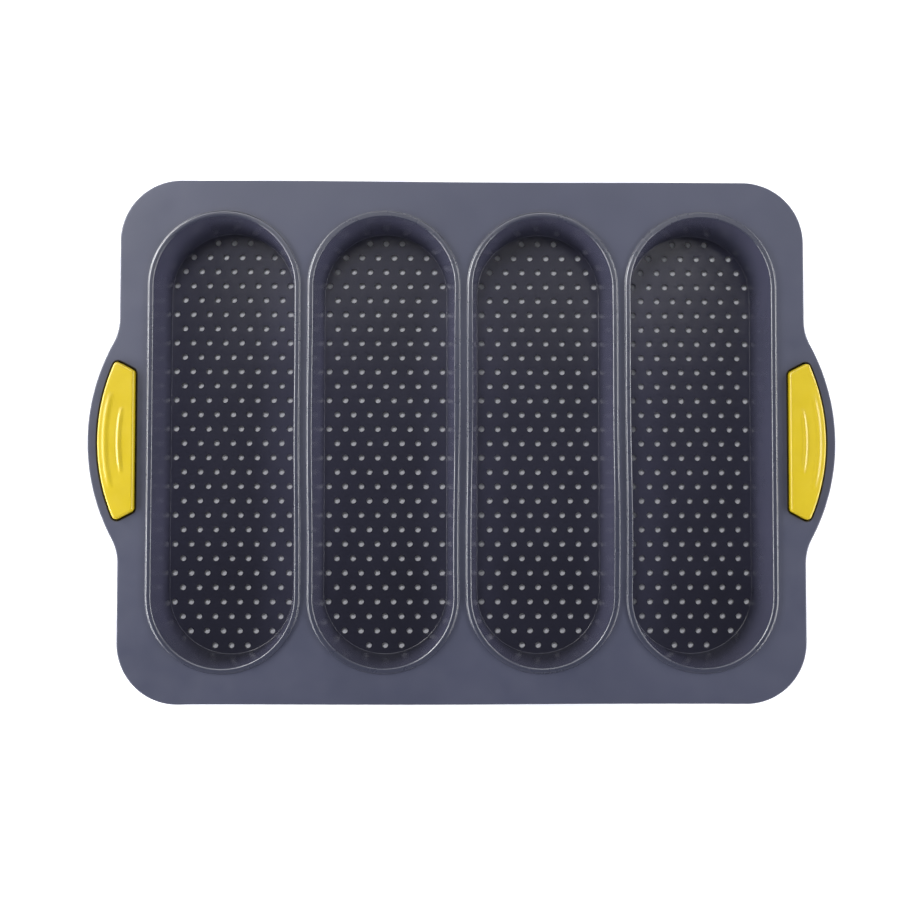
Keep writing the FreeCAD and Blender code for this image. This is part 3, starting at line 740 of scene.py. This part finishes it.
def painted_glow_round_tray(nodes, links, position):
    """Painted glow of the floor, which is no lamp: next to nothing under the troughs, where it lifts
    the shade seen through the holes, rising to a soft glow that lifts the tray's shadow where the deck's
    edge hides the change, and then to a stronger one where the floor runs out of the panels' light."""
    parts = nodes.new("ShaderNodeSeparateXYZ")
    links.new(position, parts.inputs["Vector"])
    gaps = []
    for axis, half_size in (("X", DIM_HALF_X), ("Y", DIM_HALF_Y)):
        distance = add_math(nodes, links, "ABSOLUTE", parts.outputs[axis], 0.0)
        gaps.append(add_math(nodes, links, "SUBTRACT", distance, half_size))
    gap = add_math(nodes, links, "MAXIMUM", *gaps)
    near = add_range(nodes, links, gap, NEAR_RISE, NEAR_GLOW)
    far = add_range(nodes, links, gap, FAR_RISE, FAR_GLOW)
    return add_math(nodes, links, "ADD", near, far)


def paper_material():
    """Pale paper without any shine, with a painted glow round the tray that lifts its shadow."""
    material, nodes, links, shader = new_material("white_sweep")
    position = nodes.new("ShaderNodeTexCoord").outputs["Object"]
    fibre = add_noise(nodes, links, position, scale=300.0, detail=3.0)
    colour = add_mix(nodes, links, fibre, (0.86, 0.865, 0.93), (0.89, 0.895, 0.96))
    links.new(colour, shader.inputs["Base Color"])
    shader.inputs["Roughness"].default_value = 0.9
    shader.inputs["Specular IOR Level"].default_value = 0.0
    shader.inputs["Emission Color"].default_value = (0.94, 0.97, 1.0, 1)
    links.new(painted_glow_round_tray(nodes, links, position), shader.inputs["Emission Strength"])
    return material


# ------------------------------------------------------------------ pieces

def set_up_piece(piece, node, materials):
    """Gives a new piece its materials, in the order of its zones, and its place in the frame."""
    for material in materials:
        piece.data.materials.append(material)
    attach(piece, "root")
    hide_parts(node)


deck_finish = silicone_material(
    "silicone_matt", colours=((0.038, 0.042, 0.0725), (0.043, 0.047, 0.080)),
    roughness=(0.44, 0.54), unevenness=0.20, grain_depth=0.20, gloss=1.53)
wall_finish = silicone_material(
    "silicone_wall", colours=((0.043, 0.044, 0.070), (0.049, 0.049, 0.080)),
    roughness=(0.23, 0.27), unevenness=0.05, grain_depth=0.06, gloss=1.53)
# trough floors: glossier than the deck, and painted darker than the walls as painted shade for the shade
# the walls cast on them
floor_gloss_and_shade = silicone_material(
    "silicone_floor", colours=((0.035, 0.035, 0.060), (0.040, 0.040, 0.068)),
    roughness=(0.23, 0.27), unevenness=0.05, grain_depth=0.10, gloss=1.53)
# lips: glossier than the deck, and painted darker than it as painted shade on their glossy tops
lip_gloss_and_shade = silicone_material(
    "silicone_lip", colours=((0.028, 0.031, 0.052), (0.032, 0.035, 0.058)),
    roughness=(0.26, 0.30), unevenness=0.0, grain_depth=0.03, gloss=1.80)
# the groove round each grip painted near black: painted shade, as the gap lies in shade
seam_shade = shaded_seat_material("seam_painted_shade", (0.010, 0.008, 0.007), (0.016, 0.013, 0.010))
yellow = grip_material()
# the grips' tongues painted dark brown instead of yellow: painted shade, as they sit down the gap in
# shade
tongue = shaded_seat_material("grip_tongue_painted_shade", (0.060, 0.042, 0.008), (0.085, 0.060, 0.011))
set_up_piece(build_tray(), "tray_body",
             (deck_finish, wall_finish, floor_gloss_and_shade, lip_gloss_and_shade, seam_shade))
set_up_piece(build_grip("yellow_grip_right", 1), "right_grip", (yellow, tongue))
set_up_piece(build_grip("yellow_grip_left", -1), "left_grip", (yellow, tongue))
wire = frame["nodes"]["frame_wire"]
wire.data.materials.clear()
wire.data.materials.append(wire_material())

# ------------------------------------------------------------------ floor, light and camera

# effects of a panel, and strengths of the world as a light and as the camera sees it
ALL, SHEEN, FILL = range(3)
WORLD_LIGHT, WORLD_SEEN = 0.09, 0.95


def add_area(name, place, panel, power, effect):
    """Rectangular light panel that faces the middle of the tray. Its effect is ALL, only the sheen
    that surfaces mirror, or only the fill that they scatter, like a panel behind a polariser."""
    light = bpy.data.lights.new(name, "AREA")
    light.shape = "RECTANGLE"
    light.size, light.size_y = panel
    light.energy = power
    lamp = bpy.data.objects.new(name, light)
    lamp.location = place
    lamp.rotation_euler = (-Vector(place)).to_track_quat("-Z", "Y").to_euler()
    lamp.visible_glossy = effect != FILL
    lamp.visible_diffuse = effect != SHEEN
    bpy.context.scene.collection.objects.link(lamp)


def studio_world():
    """Pale backdrop all round; it lights the tray only weakly, so that the panels shape it."""
    world = bpy.data.worlds.new("studio")
    world.use_nodes = True
    nodes, links = world.node_tree.nodes, world.node_tree.links
    seen = nodes.new("ShaderNodeLightPath").outputs["Is Camera Ray"]
    nodes["Background"].inputs["Color"].default_value = (1, 1, 1, 1)
    strength = add_range(nodes, links, seen, (0.0, 1.0), (WORLD_LIGHT, WORLD_SEEN))
    links.new(strength, nodes["Background"].inputs["Strength"])
    return world


FLOOR_SIZE = 3.0
FLOOR_DROP = 0.0002
bpy.ops.mesh.primitive_plane_add(size=FLOOR_SIZE, location=(0, 0, -FLOOR_DROP))
sweep_floor = bpy.context.object
sweep_floor.name = "floor"
sweep_floor.data.materials.append(paper_material())

# name, place in metres, width and length of the panel, power in watts, effect
LIGHTS = (
    ("left_strip", (-0.95, 0.0, 0.38), (1.4, 0.22), 13.5, ALL),
    ("left_low_strip", (-0.75, 0.0, 0.22), (1.0, 0.25), 4.3, ALL),
    ("right_strip", (0.95, 0.0, 0.38), (1.4, 0.22), 12.4, ALL),
    ("right_near_strip", (0.60, 0.18, 0.36), (1.0, 0.30), 1.4, ALL),
    ("corner_softbox", (-0.60, 0.45, 0.45), (0.4, 0.4), 6.4, SHEEN),
    ("back_softbox", (0.0, 0.75, 0.75), (1.0, 0.4), 5.9, SHEEN),
    ("back_low_softbox", (0.0, 1.0, 0.24), (1.2, 0.5), 0.6, ALL),
    ("front_softbox", (0.0, -0.95, 0.36), (1.2, 0.4), 0.4, ALL),
    ("front_fill", (0.0, -0.80, 0.30), (1.0, 0.4), 3.8, FILL),
    ("hole_fill", (-0.22, 0.46, 1.05), (0.2, 0.2), 3.6, FILL),
    ("key_softbox", (-0.45, 0.45, 1.00), (0.4, 0.4), 0.15, ALL),
    ("centre_softbox", (0.05, 0.40, 1.00), (0.4, 0.4), 0.3, ALL),
    ("left_glint", (-0.21, 0.29, 1.00), (0.12, 0.12), 0.09, ALL),
    ("right_glint", (0.31, 0.29, 1.00), (0.12, 0.12), 0.15, ALL),
)
for name, place, panel, power, effect in LIGHTS:
    add_area(name, place, panel, power, effect)

bpy.context.scene.world = studio_world()

# the camera's place in millimetres, its height being above the deck, and its turns in radians
CAMERA_X, CAMERA_Y, CAMERA_HEIGHT = -14.50, -22.92, 547.9
CAMERA_TURNS = (("X", -0.0339), ("Y", 0.0147), ("Z", -0.0016))
LENS, SENSOR_WIDTH = 45.05, 36.0

view_from = Vector((CAMERA_X, CAMERA_Y, DECK_TOP + CAMERA_HEIGHT)) * MM
world_to_camera = Matrix.Identity(3)
for axis, turn in CAMERA_TURNS:
    world_to_camera = Matrix.Rotation(turn, 3, axis) @ world_to_camera
camera_data = bpy.data.cameras.new("camera")
camera_data.lens = LENS
camera_data.sensor_width = SENSOR_WIDTH
camera = bpy.data.objects.new("camera", camera_data)
camera.matrix_world = Matrix.Translation(view_from) @ world_to_camera.transposed().to_4x4()
bpy.context.scene.collection.objects.link(camera)
bpy.context.scene.camera = camera
bpy.context.scene.view_settings.view_transform = "Standard"
